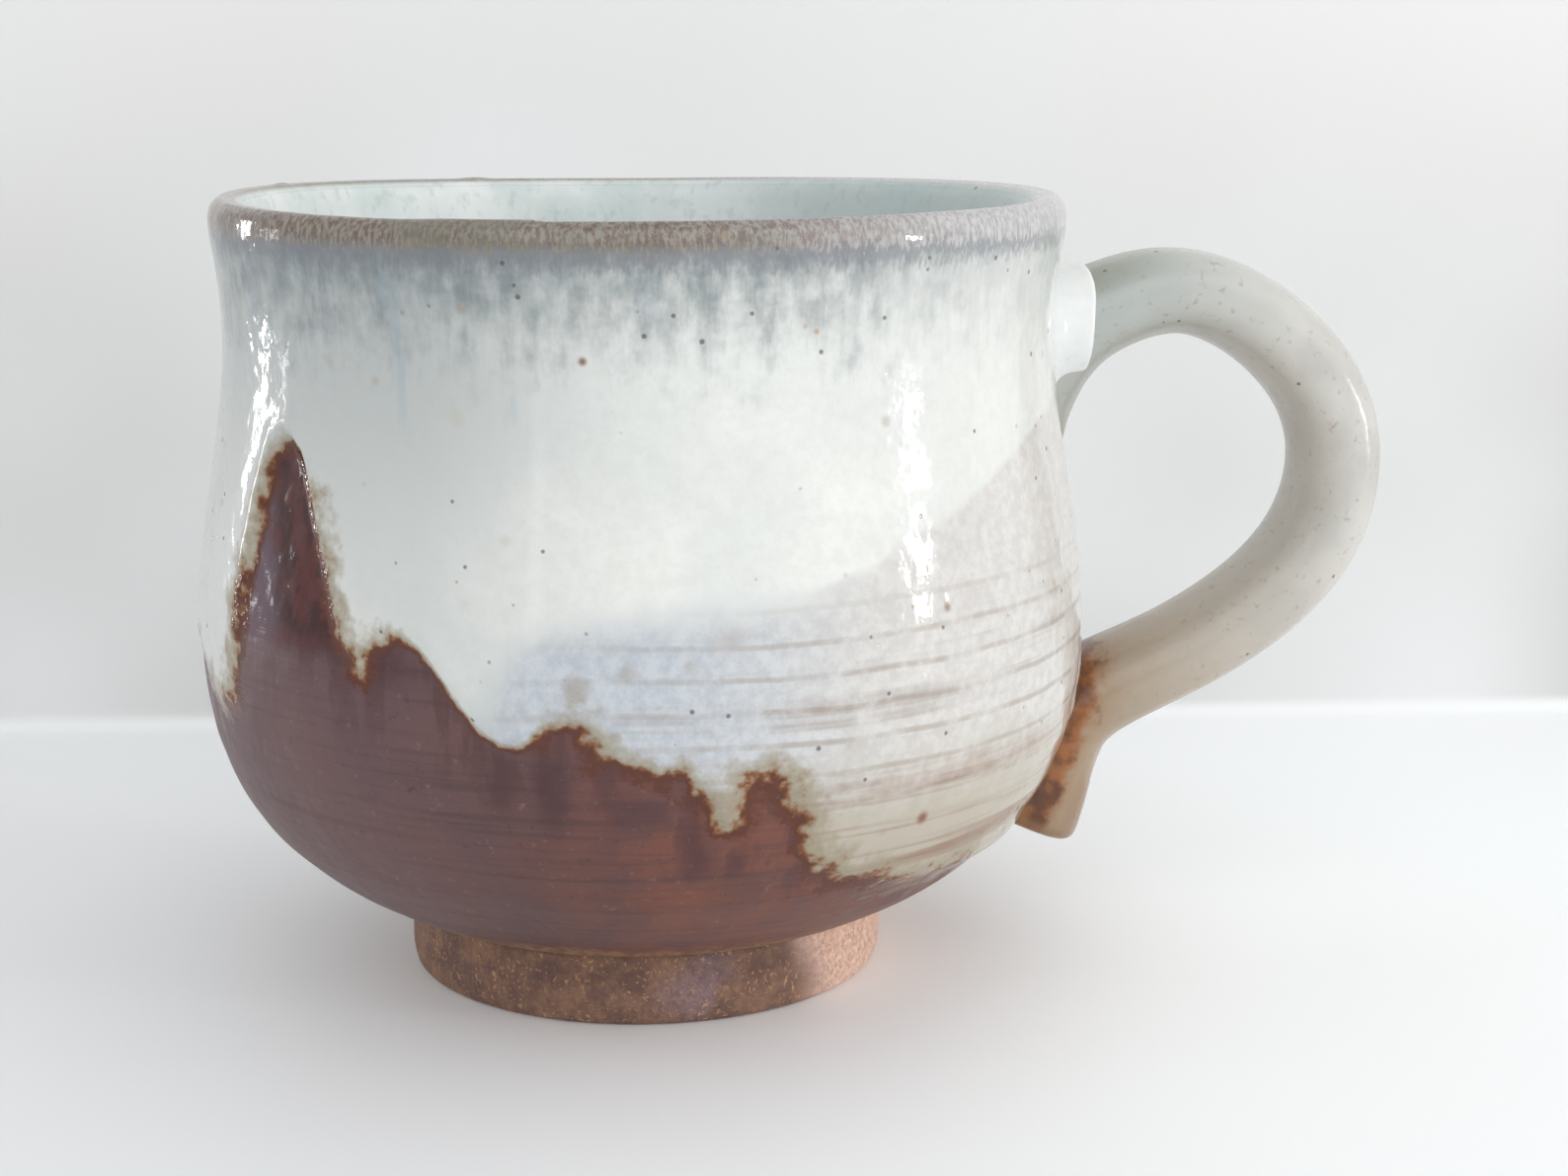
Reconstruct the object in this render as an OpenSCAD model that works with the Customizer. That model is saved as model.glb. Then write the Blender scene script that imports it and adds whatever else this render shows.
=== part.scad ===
// A hand-thrown stoneware mug: a waisted bowl with a round belly, a strap handle and a turned foot,
// under a liner coat, a brown rim band, a thick white coat, a pale second dip and an iron coat.
// Millimetres, +Z up. The origin is on the bowl's axis in the plane of the foot, the handle points to +X.

/* [Body] */

// Height from the table to the top of the lip
mug_height = 81; // [70:1:95]

// Diameter of the glazed belly at its widest
belly_diameter = 92; // [80:1:110]

// Height of the widest part of the belly
belly_height = 38; // [32:1:44]

// Diameter of the glazed waist under the lip
waist_diameter = 85; // [74:1:90]

// Diameter of the glazed lip outside
lip_diameter = 87; // [76:1:98]

// Thickness of the thrown wall
wall_thickness = 4; // [3:0.5:6]

// Thickness of the floor over the foot
floor_thickness = 5; // [4:0.5:7]

/* [Foot] */

// Diameter of the foot ring outside
foot_diameter = 50; // [42:1:56]

// Height of the foot ring
foot_height = 7.5; // [5:0.5:9]

// Width of the foot ring's clay
foot_width = 5; // [4:0.5:7]

/* [Handle] */

// How far the middle of the strap stands out from the axis
handle_reach = 75.5; // [70:0.5:84]

// Thickness of the glazed strap
handle_thickness = 9; // [7:0.5:11]

// Width of the glazed strap
handle_width = 14; // [11:0.5:18]

/* [Glaze] */

// Thickness of the thick white coat
white_thickness = 0.8; // [0.5:0.1:1.2]

// Thickness of the thin coats
thin_thickness = 0.5; // [0.3:0.1:0.8]

// Height at which the white coat ends over the iron coat
white_edge = 30; // [26:1:32]

// Height of the brown band under the lip
rim_band = 6; // [4:0.5:9]

/* [Hidden] */

$fn = 96;

// the clay lies one coat inside the finished sizes
belly_r = belly_diameter / 2 - white_thickness;
waist_r = waist_diameter / 2 - white_thickness;
lip_r = lip_diameter / 2 - thin_thickness;
foot_r = foot_diameter / 2;

// the clay stops one coat below the finished height, the coats go over it
clay_top = mug_height - thin_thickness;
lip_half = wall_thickness * 0.42;
lip_z = clay_top - lip_half;
waist_z = belly_height + (lip_z - belly_height) * 0.7;

floor_z = foot_height + floor_thickness;

// where the pale dip starts and ends, and the sector it covers on the handle side
pale_low = foot_height + (white_edge - foot_height) * 0.55;
pale_top = belly_height + (lip_z - belly_height) * 0.34;
pale_half_angle = 68;

iron_low = foot_height + 0.6;
rim_low = mug_height - rim_band;

// the outside of the thrown wall, as a radius at each height
function low_belly(z) =
    foot_r * 0.8 + (belly_r - foot_r * 0.8)
    * pow(1 - pow((belly_height - z) / (belly_height - foot_height + 0.5), 2.1), 0.5);
function high_belly(z) =
    waist_r + (belly_r - waist_r) * (0.5 + 0.5 * cos(180 * (z - belly_height) / (waist_z - belly_height)));
function flare(z) = waist_r + (lip_r - waist_r) * (1 - cos(90 * (z - waist_z) / (lip_z - waist_z)));
function outside(z) = z < belly_height ? low_belly(z) : z < waist_z ? high_belly(z) : flare(z);

// the inside of the wall, with a rounded bottom
inner_belly_r = belly_r - wall_thickness;
function inside(z) =
    z < belly_height
    ? inner_belly_r * 0.35 + inner_belly_r * 0.65
        * pow(1 - pow((belly_height - z) / (belly_height - floor_z), 2.2), 0.5)
    : outside(z) - wall_thickness + (wall_thickness - 2 * lip_half) * (z - belly_height) / (lip_z - belly_height);

function steps(a, b, n) = [for (k = [0:n - 1]) a + (b - a) * k / n];

// one line round the wall: up the outside, over the lip, down the inside to the middle of the floor
out_a = [for (z = steps(iron_low, pale_low, 9)) [outside(z), z]];
out_b = [for (z = steps(pale_low, white_edge, 6)) [outside(z), z]];
out_c = [for (z = steps(white_edge, pale_top, 12)) [outside(z), z]];
out_d = [for (z = steps(pale_top, rim_low, 12)) [outside(z), z]];
out_e = [for (z = steps(rim_low, lip_z, 3)) [outside(z), z]];
lip_line = [for (a = [0:22.5:180]) [lip_r - lip_half + lip_half * cos(a), lip_z + lip_half * sin(a)]];
in_a = [for (z = steps(lip_z - 1.5, rim_low, 2)) [inside(z), z]];
in_b = [for (z = steps(rim_low, belly_height, 14)) [inside(z), z]];
in_c = [for (a = [0:6:84]) [inside(belly_height - (belly_height - floor_z) * sin(a)),
    belly_height - (belly_height - floor_z) * sin(a)]];
in_d = [[inner_belly_r * 0.35, floor_z], [0, floor_z]];
wall_line = concat(out_a, out_b, out_c, out_d, out_e, lip_line, in_a, in_b, in_c, in_d);

// places on that line where one coat ends and the next starts
i_pale = len(out_a);
i_white = i_pale + len(out_b);
i_pale_top = i_white + len(out_c);
i_rim = i_pale_top + len(out_d);
i_liner = i_rim + len(out_e) + len(lip_line) + len(in_a);
i_end = len(wall_line) - 1;

function unit(v) = v / norm(v);
function way(k) = k == 0 ? unit(wall_line[1] - wall_line[0])
    : k == i_end ? [-1, 0]
    : unit(unit(wall_line[k + 1] - wall_line[k]) + unit(wall_line[k] - wall_line[k - 1]));
function lifted(k, t) = wall_line[k] + t * [way(k)[1], -way(k)[0]];

// a strip of glaze lying on the wall between two places
module coat_strip(i, j, t) {
    polygon(concat([for (k = [i:j]) wall_line[k]], [for (k = [j:-1:i]) lifted(k, t)]));
}

// turned only on the handle side, or only on the side away from it
module handle_side() {
    rotate([0, 0, -pale_half_angle]) rotate_extrude(angle = 2 * pale_half_angle) children();
}
module far_side() {
    rotate([0, 0, pale_half_angle]) rotate_extrude(angle = 360 - 2 * pale_half_angle) children();
}

// the thrown clay without its hollow, for cutting the parts that lean on it
module clay_solid() {
    rotate_extrude() polygon(concat(
        [[0, foot_height], [outside(foot_height), foot_height]],
        [for (k = [0:i_rim + len(out_e)]) wall_line[k]],
        [[lip_r - 2 * lip_half, lip_z], [0, lip_z]]));
}

// the strap's middle line from the upper root round to the end of the tail, as parts of its size
root_z = clay_top - 15.2;
tail_z = foot_height + 6;
strap_keys = [
    [-0.17, 0.92, 1.20, 1.20], [-0.05, 0.945, 1.15, 1.12], [0.10, 0.98, 1.08, 1.04], [0.27, 1.015, 1.04, 1.00],
    [0.455, 1.02, 1.02, 0.98], [0.66, 0.975, 1.02, 0.98], [0.85, 0.89, 1.04, 0.98], [0.97, 0.785, 1.04, 0.98],
    [1.00, 0.665, 1.04, 0.98], [0.93, 0.535, 1.06, 0.98], [0.75, 0.42, 1.06, 0.98], [0.48, 0.325, 1.04, 1.00],
    [0.23, 0.265, 1.06, 1.03], [0.065, 0.215, 1.15, 1.08], [-0.025, 0.145, 1.30, 1.14], [-0.08, 0.075, 1.48, 1.20],
    [-0.125, 0.02, 1.60, 1.20]
];
lower_in = belly_r - 0.5;
upper_in = outside(root_z) + 2.95;
function strap_in(up) = lower_in + (upper_in - lower_in) * max(0, min(1, (up - 0.3) / 0.6));
function strap_at(q) = [
    strap_in(q[1]) + (handle_reach - strap_in(q[1])) * q[0],
    tail_z + (root_z + 4 - tail_z) * q[1],
    (handle_thickness / 2 - thin_thickness) * q[2],
    (handle_width / 2 - thin_thickness) * q[3]
];
strap_points = [for (q = strap_keys) strap_at(q)];
last_key = len(strap_points) - 1;

// a smooth line through the keys, three rings to a key
function between(a, b, c, d, u) = 0.5 * (2 * b + (c - a) * u
    + (2 * a - 5 * b + 4 * c - d) * u * u + (3 * b - a - 3 * c + d) * u * u * u);
function key(k) = strap_points[max(0, min(last_key, k))];
rings_per_key = 3;
ring_count = last_key * rings_per_key + 1;
function ring_key(i) = between(
    key(floor(i / rings_per_key) - 1), key(floor(i / rings_per_key)),
    key(floor(i / rings_per_key) + 1), key(floor(i / rings_per_key) + 2),
    (i % rings_per_key) / rings_per_key);
strap_line = [for (i = [0:ring_count - 1]) ring_key(i)];
function along(i) = unit([
    strap_line[min(i + 1, ring_count - 1)][0] - strap_line[max(i - 1, 0)][0],
    strap_line[min(i + 1, ring_count - 1)][1] - strap_line[max(i - 1, 0)][1]]);

// one ring of the strap: a soft-cornered oval, wider or thicker by an extra amount
sides = 20;
function soft(c) = sign(c) * pow(abs(c), 0.85);
function strap_ring(i, extra, squeeze) = [for (k = [0:sides - 1])
    let (a = 360 * k / sides,
        t = (strap_line[i][2] * squeeze + extra) * soft(cos(a)),
        w = (strap_line[i][3] * squeeze + extra) * soft(sin(a)))
    [strap_line[i][0] - along(i)[1] * t, w, strap_line[i][1] + along(i)[0] * t]];

// skin the rings with a flat cap at each end
module skin(rings) {
    n = len(rings);
    m = len(rings[0]);
    polyhedron(
        points = [for (r = rings) each r],
        faces = concat(
            [[for (k = [0:m - 1]) k]],
            [[for (k = [m - 1:-1:0]) (n - 1) * m + k]],
            [for (i = [0:n - 2]) for (k = [0:m - 1]) [i * m + k, (i + 1) * m + k, (i + 1) * m + (k + 1) % m]],
            [for (i = [0:n - 2]) for (k = [0:m - 1]) [i * m + k, (i + 1) * m + (k + 1) % m, i * m + (k + 1) % m]]));
}

// the tail's end is rounded over by two smaller rings
function tail_end(i, drop, squeeze) = [for (p = strap_ring(i, 0, squeeze))
    [p[0] + along(i)[0] * drop, p[1], p[2] + along(i)[1] * drop]];

module strap_solid() {
    skin(concat(
        [for (i = [0:ring_count - 1]) strap_ring(i, 0, 1)],
        [tail_end(ring_count - 1, 0.9, 0.93), tail_end(ring_count - 1, 1.4, 0.78)]));
}

// a closed sleeve: an outer skin, an inner skin that is the strap's own, and a rim at each end
module sleeve(outer, inner) {
    n = 2 * len(outer);
    rings = concat(outer, [for (i = [len(inner) - 1:-1:0]) inner[i]]);
    polyhedron(
        points = [for (r = rings) each r],
        faces = concat(
            [for (i = [0:n - 1]) for (k = [0:sides - 1])
                [i * sides + k, ((i + 1) % n) * sides + k, ((i + 1) % n) * sides + (k + 1) % sides]],
            [for (i = [0:n - 1]) for (k = [0:sides - 1])
                [i * sides + k, ((i + 1) % n) * sides + (k + 1) % sides, i * sides + (k + 1) % sides]]));
}

// the roll of slip round the upper root, thick at the wall and running out along the strap
upper_rings = 7;
roll_thickness = 3.4;
function upper_extra(i) = 0.5 + (roll_thickness + 0.6) * pow(1 - i / upper_rings, 1.8);
function upper_ring(i) = [for (k = [0:sides - 1])
    let (a = 360 * k / sides,
        more = 0.5 + (upper_extra(i) - 0.5) * (1 - 0.6 * pow(0.5 + 0.5 * cos(a), 2)),
        t = (strap_line[i][2] + more) * soft(cos(a)),
        w = (strap_line[i][3] + more) * soft(sin(a)))
    [strap_line[i][0] - along(i)[1] * t, w, strap_line[i][1] + along(i)[0] * t]];

// the smear of slip round the tail, thin outside and flared where it meets the belly
lower_first = ring_count - 1 - 5 * rings_per_key;
lower_last = ring_count - 1;
smear_flare = 2.4;
function lower_ring(i) = [for (k = [0:sides - 1])
    let (a = 360 * k / sides,
        more = 0.45 + smear_flare * pow(max(0, 0.5 - 0.5 * cos(a)), 1.5)
            * min(1, (i - lower_first) / 6),
        t = (strap_line[i][2] + 0.45) * soft(cos(a)),
        w = (strap_line[i][3] + more) * soft(sin(a)))
    [strap_line[i][0] - along(i)[1] * t, w, strap_line[i][1] + along(i)[0] * t]];

// windows left in the coats, so that the roots stand on bare clay
root_gap = 0.6;
upper_window = (handle_thickness / 2 - thin_thickness) * 1.15 + roll_thickness + 0.8 + root_gap;
upper_side = max(0.5, handle_width / 2 * 1.15 + roll_thickness + root_gap - upper_window + 0.4);
lower_window = handle_width / 2 * 1.16 + smear_flare * 0.8 + root_gap;
upper_middle = tail_z + (root_z + 4 - tail_z) * 0.935;
lower_low = tail_z - 2.2 + lower_window;
lower_high = tail_z + 0.37 * (root_z + 4 - tail_z) + 2.6 - lower_window;
module root_windows() {
    rotate([90, 0, 90]) linear_extrude(height = handle_reach) {
        translate([-upper_side, upper_middle]) circle(upper_window);
        translate([upper_side, upper_middle]) circle(upper_window);
        translate([-upper_side, upper_middle - upper_window]) square([2 * upper_side, 2 * upper_window]);
        translate([0, lower_low]) circle(lower_window);
        translate([0, max(lower_low, lower_high)]) circle(lower_window);
        translate([-lower_window, lower_low]) square([2 * lower_window, max(0.01, lower_high - lower_low)]);
    }
}

module bowl() {
    color("#b9a48c") rotate_extrude() polygon(concat(
        [[0, foot_height], [outside(foot_height), foot_height]],
        wall_line));
}

module foot_ring() {
    color("#8a6b55") rotate_extrude() polygon([
        [foot_r - foot_width, foot_height],
        [foot_r - foot_width - 0.2, 2],
        [foot_r - foot_width + 0.2, 0.6],
        [foot_r - foot_width + 0.9, 0],
        [foot_r - 1, 0],
        [foot_r - 0.3, 0.4],
        [foot_r, 1.2],
        [foot_r + 0.1, foot_height * 0.5],
        [foot_r - 0.3, foot_height]]);
}

module handle() {
    color("#c9bfae") difference() {
        strap_solid();
        clay_solid();
    }
}

module upper_lute() {
    color("#d8d2c4") difference() {
        sleeve([for (i = [0:upper_rings]) upper_ring(i)],
            [for (i = [0:upper_rings]) strap_ring(i, 0, 1)]);
        clay_solid();
    }
}

module lower_lute() {
    color("#a88d73") difference() {
        sleeve([for (i = [lower_first:lower_last]) lower_ring(i)],
            [for (i = [lower_first:lower_last]) strap_ring(i, 0, 1)]);
        clay_solid();
    }
}

module liner_glaze() {
    color("#dfe6df") rotate_extrude() coat_strip(i_liner, i_end, thin_thickness);
}

module rim_glaze() {
    color("#a08f80") rotate_extrude() coat_strip(i_rim, i_liner, thin_thickness);
}

module white_glaze() {
    color("#eef0ee") difference() {
        union() {
            handle_side() coat_strip(i_pale_top, i_rim, white_thickness);
            far_side() coat_strip(i_white, i_rim, white_thickness);
        }
        root_windows();
    }
}

module pale_glaze() {
    color("#dccdc4") difference() {
        handle_side() coat_strip(i_pale, i_pale_top, thin_thickness);
        root_windows();
    }
}

module iron_glaze() {
    color("#75503f") difference() {
        union() {
            handle_side() coat_strip(0, i_pale, thin_thickness);
            far_side() coat_strip(0, i_white, thin_thickness);
        }
        root_windows();
    }
}

// the coat on the strap between the two roots
coat_first = upper_rings;
coat_last = lower_first;
module handle_glaze() {
    color("#d6d3c6") sleeve([for (i = [coat_first:coat_last]) strap_ring(i, thin_thickness, 1)],
        [for (i = [coat_first:coat_last]) strap_ring(i, 0, 1)]);
}

bowl();
foot_ring();
handle();
upper_lute();
lower_lute();
liner_glaze();
rim_glaze();
white_glaze();
pale_glaze();
iron_glaze();
handle_glaze();
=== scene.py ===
# A hand-thrown stoneware mug: a waisted round body on a turned foot, with a pulled strap handle.
# It is dipped in a thick pale ash glaze over an iron glaze, and a second thinner dip by the handle.
import bpy
import bmesh
import math
import numpy as np
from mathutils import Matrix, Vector, kdtree


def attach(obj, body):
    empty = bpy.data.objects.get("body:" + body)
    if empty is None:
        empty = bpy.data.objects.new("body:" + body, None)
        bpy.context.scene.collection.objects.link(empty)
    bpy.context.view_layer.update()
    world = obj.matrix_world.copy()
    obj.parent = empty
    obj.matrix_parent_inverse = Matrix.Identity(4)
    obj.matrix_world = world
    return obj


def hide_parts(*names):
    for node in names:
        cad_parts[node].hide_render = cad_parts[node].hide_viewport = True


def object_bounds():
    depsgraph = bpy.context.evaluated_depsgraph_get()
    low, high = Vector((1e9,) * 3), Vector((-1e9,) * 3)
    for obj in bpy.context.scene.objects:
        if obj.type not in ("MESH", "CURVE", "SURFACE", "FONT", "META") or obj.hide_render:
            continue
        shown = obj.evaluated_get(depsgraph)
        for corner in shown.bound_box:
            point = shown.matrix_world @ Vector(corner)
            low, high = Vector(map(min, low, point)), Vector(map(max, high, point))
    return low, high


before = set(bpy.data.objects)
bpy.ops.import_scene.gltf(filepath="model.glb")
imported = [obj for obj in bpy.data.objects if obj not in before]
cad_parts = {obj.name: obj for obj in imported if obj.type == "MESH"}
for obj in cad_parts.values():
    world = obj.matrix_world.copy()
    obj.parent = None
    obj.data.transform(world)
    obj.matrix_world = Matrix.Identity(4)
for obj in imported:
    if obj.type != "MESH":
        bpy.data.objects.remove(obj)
cad_low, cad_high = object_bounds()

# ---------------------------------------------------------------- table, wall, light and camera
# A pale painted table runs into a pale wall close behind the mug. Daylight falls from a wide
# window on the right and from the room in front, and two narrow windows stand behind on the left.
# The table's paint glows a little, most on the right: painted light that brightens the table as the
# window's light would.

TURN = math.radians(-5)                      # the wall and the windows are turned a little to the mug
WALL_BEHIND = 0.097
WALL_TALL = 1.1
WALL_LEFT = -0.12                            # the wall stops here, and the narrow windows shine past it


def shade(red, green, blue):
    """A colour as the eye names it, 0 to 255, as the light-true colour that a shader takes."""
    def true(v):
        v /= 255
        return v / 12.92 if v <= 0.04045 else ((v + 0.055) / 1.055) ** 2.4
    return (true(red), true(green), true(blue), 1.0)


class Recipe:
    """Writes the nodes of a material or a node group, one call to a node."""

    def __init__(self, tree):
        self.tree = tree

    def feed(self, socket, value):
        if isinstance(value, bpy.types.NodeSocket):
            self.tree.links.new(value, socket)
        else:
            socket.default_value = value

    def node(self, kind, inputs=None, **settings):
        made = self.tree.nodes.new("ShaderNode" + kind)
        for name, value in settings.items():
            setattr(made, name, value)
        for name, value in (inputs or {}).items():
            self.feed(made.inputs[name], value)
        return made

    def reckon(self, operation, a, b=0.0):
        return self.node("Math", {0: a, 1: b}, operation=operation).outputs[0]

    def times(self, first, *others):
        for other in others:
            first = self.reckon("MULTIPLY", first, other)
        return first

    def plus(self, first, *others):
        for other in others:
            first = self.reckon("ADD", first, other)
        return first

    def less(self, a, b):
        return self.reckon("SUBTRACT", a, b)

    def parts(self, where):
        """Sideways, depth and height of a place, each as a value."""
        return self.node("SeparateXYZ", {0: where}).outputs

    def blend(self, share, under, over):
        """The colour under, with the colour over on it to the given share."""
        made = self.node("Mix", data_type="RGBA", blend_type="MIX")
        for slot, value in ((0, share), (6, under), (7, over)):
            self.feed(made.inputs[slot], value)
        return made.outputs[2]

    def rise(self, value, low, high, first=0.0, last=1.0):
        """Goes smoothly from first to last as value goes from low to high."""
        made = self.node("MapRange", {"Value": value, "From Min": low, "From Max": high,
                                      "To Min": first, "To Max": last}, interpolation_type="SMOOTHSTEP")
        return made.outputs[0]

    def stretch(self, where, across, up):
        made = self.node("Mapping", {"Vector": where})
        made.inputs["Scale"].default_value = (across, across, up)
        return made.outputs[0]

    def noise(self, where, scale, detail=3.0, roughness=0.5):
        made = self.node("TexNoise", {"Vector": where, "Scale": scale, "Detail": detail,
                                      "Roughness": roughness})
        return made.outputs["Fac"]

    def spot(self, where, place, size, soft=0.5, tall=1.0):
        """A round or upright mark at one place, 1 in the middle and 0 outside its size."""
        off = self.node("VectorMath", {0: where, 1: place}, operation="SUBTRACT").outputs[0]
        off = self.node("VectorMath", {0: off, 1: (1.0, 1.0, 1.0 / tall)}, operation="MULTIPLY").outputs[0]
        gap = self.node("VectorMath", {0: off}, operation="LENGTH").outputs["Value"]
        return self.rise(gap, size * (1 - soft), size, 1.0, 0.0)

    def bump(self, shader, strength, depth, height):
        """Light falls as on a surface raised by the height, and the mesh stays as it is."""
        made = self.node("Bump", {"Strength": strength, "Distance": depth, "Height": height})
        self.feed(shader.inputs["Normal"], made.outputs[0])


def material(name, roughness):
    """A new material: its recipe, its one Principled shader, and the place on the piece."""
    made = bpy.data.materials.new(name)
    made.use_nodes = True
    recipe = Recipe(made.node_tree)
    shader = made.node_tree.nodes["Principled BSDF"]
    shader.inputs["Roughness"].default_value = roughness
    return made, recipe, shader, recipe.node("TexCoord").outputs["Object"]


def start_clean():
    if bpy.context.object and bpy.context.object.mode != "OBJECT":
        bpy.ops.object.mode_set(mode="OBJECT")
    bpy.ops.object.select_all(action="DESELECT")


start_clean()
bpy.ops.mesh.primitive_plane_add(size=2.0, location=(0, WALL_BEHIND - 1.0, cad_low.z))
table = bpy.context.object
table.name = "table_and_wall"
bpy.ops.object.mode_set(mode="EDIT")
bpy.ops.mesh.select_all(action="DESELECT")
bpy.ops.object.mode_set(mode="OBJECT")
for edge in table.data.edges:
    edge.select = all(table.data.vertices[v].co.y > 0 for v in edge.vertices)
bpy.ops.object.mode_set(mode="EDIT")
bpy.ops.mesh.select_mode(type="EDGE")
bpy.ops.mesh.extrude_region_move(TRANSFORM_OT_translate={"value": (0, 0, WALL_TALL)})
bpy.ops.object.mode_set(mode="OBJECT")
for corner in table.data.vertices:
    if corner.co.x < 0 and corner.co.y > 0:
        corner.co.x = WALL_LEFT
bpy.ops.object.transform_apply(location=True, rotation=True, scale=True)
bpy.ops.object.modifier_add(type="BEVEL")
table.modifiers[-1].width = 0.003
table.modifiers[-1].segments = 8
bpy.ops.object.modifier_apply(modifier=table.modifiers[-1].name)
table.rotation_euler.z = TURN
bpy.ops.object.transform_apply(location=True, rotation=True, scale=True)
bpy.ops.object.shade_smooth()

paint, recipe, shader, where = material("matt white paint", 0.55)
cloud = recipe.noise(where, 9.0, 2.0)
side, depth, height = recipe.parts(where)
upper = recipe.rise(height, 0.0005, 0.0025)
# the wall is painted darker low down, near the table: painted shade
wall_paint_and_painted_shade = recipe.blend(recipe.rise(height, 0.02, 0.11), shade(206, 205, 203), shade(240, 239, 237))
plain = recipe.blend(upper, shade(244, 246, 246), wall_paint_and_painted_shade)
recipe.feed(shader.inputs["Base Color"],
            recipe.blend(recipe.rise(cloud, 0.35, 0.7), plain, shade(240, 241, 241)))
recipe.feed(shader.inputs["Emission Color"], shade(250, 252, 255))
# painted light: the table glows brighter towards the right, the window side
painted_light_glow = recipe.times(recipe.rise(side, -0.09, 0.07, 0.03, 0.12), recipe.less(1.0, upper))
recipe.feed(shader.inputs["Emission Strength"], painted_light_glow)
# from behind or below, the wall and the table let the mug be seen
clear = recipe.node("BsdfTransparent").outputs[0]
back = recipe.node("NewGeometry").outputs["Backfacing"]
seen = recipe.node("MixShader", {0: back, 1: shader.outputs[0], 2: clear}).outputs[0]
recipe.feed(paint.node_tree.nodes["Material Output"].inputs["Surface"], seen)
table.data.materials.append(paint)

world = bpy.data.worlds.new("pale room")
bpy.context.scene.world = world
world.use_nodes = True
world.node_tree.nodes["Background"].inputs["Color"].default_value = (0.97, 0.98, 1.0, 1.0)
world.node_tree.nodes["Background"].inputs["Strength"].default_value = 0.68


def window(name, angle, up, far, width, tall, strength, colour=(1, 1, 1)):
    """A window at an angle round the mug and above the table, facing the mug."""
    bpy.ops.object.select_all(action="DESELECT")
    a, e = math.radians(angle) + TURN, math.radians(up)
    middle = Vector((0, 0, 0.045))
    way = Vector((math.cos(a) * math.cos(e), math.sin(a) * math.cos(e), math.sin(e)))
    bpy.ops.object.light_add(type="AREA", location=middle + way * far)
    lamp = bpy.context.object
    lamp.name = name
    lamp.data.shape = "RECTANGLE"
    lamp.data.size = width
    lamp.data.size_y = tall
    lamp.data.energy = strength
    lamp.data.color = colour
    lamp.rotation_euler = way.to_track_quat("Z", "Y").to_euler()
    return lamp


window("wide window", -20, 30, 1.1, 1.1, 0.9, 2.5, (1.0, 0.985, 0.96))
window("bright pane", -17, 4, 1.5, 0.10, 0.25, 3.2)
window("room light", -98, 38, 1.3, 1.3, 1.0, 3.8, (0.95, 0.98, 1.0))
window("left pane", 146, 4, 1.5, 0.06, 0.50, 2.6)
window("far left pane", 158, 2, 1.5, 0.04, 0.36, 0.3)

bpy.ops.object.select_all(action="DESELECT")
bpy.ops.object.camera_add(location=(-0.0238, -0.2718, 0.0956))
camera = bpy.context.object
yaw, pitch = math.radians(8.13), math.radians(11.6)
aim = Vector((math.sin(yaw) * math.cos(pitch), math.cos(yaw) * math.cos(pitch), -math.sin(pitch)))
camera.rotation_euler = aim.to_track_quat("-Z", "Y").to_euler()
camera.data.sensor_width = 36.0
camera.data.lens = 60.2
camera.data.clip_start = 0.01
bpy.context.scene.camera = camera
bpy.context.scene.view_settings.view_transform = "Standard"

# ---------------------------------------------------------------- the foot
# A ring of the same coarse clay, added under the bowl and turned true on the wheel. It is left
# bare of glaze, so it shows the fired clay: brown-violet, with pale grit.

FOOT_LINE = [(21.0, 0.0), (24.0, 0.0), (24.7, 0.4), (25.0, 1.2), (25.15, 3.6), (24.9, 6.2),
             (24.6, 7.55), (19.9, 7.55), (19.9, 2.2), (20.2, 0.6)]


def turned(name, line, turns, corners=(), closed=False, fineness=8):
    """An outline beside the wheel's axis, in millimetres, spun into a closed solid."""
    start_clean()
    bpy.ops.curve.primitive_bezier_curve_add(location=(0, 0, 0))
    drawn = bpy.context.object
    drawn.data.dimensions = "3D"
    drawn.data.resolution_u = fineness
    spline = drawn.data.splines[0]
    spline.bezier_points.add(len(line) - 2)
    spline.use_cyclic_u = closed
    for k, (point, (r, z)) in enumerate(zip(spline.bezier_points, line)):
        point.co = (r / 1000, 0, z / 1000)
        kind = "VECTOR" if k in corners else "AUTO"
        point.handle_left_type = kind
        point.handle_right_type = kind
    bpy.context.view_layer.update()
    bpy.ops.object.convert(target="MESH")
    piece = bpy.context.object
    piece.name = name
    bpy.ops.object.mode_set(mode="EDIT")
    bpy.ops.mesh.select_all(action="SELECT")
    bpy.ops.mesh.spin(steps=turns, angle=math.tau, center=(0, 0, 0), axis=(0, 0, 1))
    bpy.ops.mesh.select_all(action="SELECT")
    bpy.ops.mesh.remove_doubles(threshold=0.000002)
    bpy.ops.mesh.delete_loose(use_verts=True, use_edges=True, use_faces=False)
    bpy.ops.mesh.select_all(action="SELECT")
    bpy.ops.mesh.normals_make_consistent(inside=False)
    bpy.ops.object.mode_set(mode="OBJECT")
    bpy.ops.object.shade_smooth_by_angle(angle=math.radians(50))
    return piece


def group(name, gives):
    """A shader node group that reads a place on the piece and gives the named colours and masks."""
    tree = bpy.data.node_groups.new(name, "ShaderNodeTree")
    tree.interface.new_socket("Place", in_out="INPUT", socket_type="NodeSocketVector")
    for socket, kind in gives:
        tree.interface.new_socket(socket, in_out="OUTPUT", socket_type="NodeSocket" + kind)
    recipe = Recipe(tree)
    return tree, recipe, tree.nodes.new("NodeGroupInput").outputs[0], tree.nodes.new("NodeGroupOutput")


def placed(recipe, tree, where):
    made = recipe.node("Group", node_tree=tree)
    recipe.feed(made.inputs[0], where)
    return made.outputs


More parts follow.
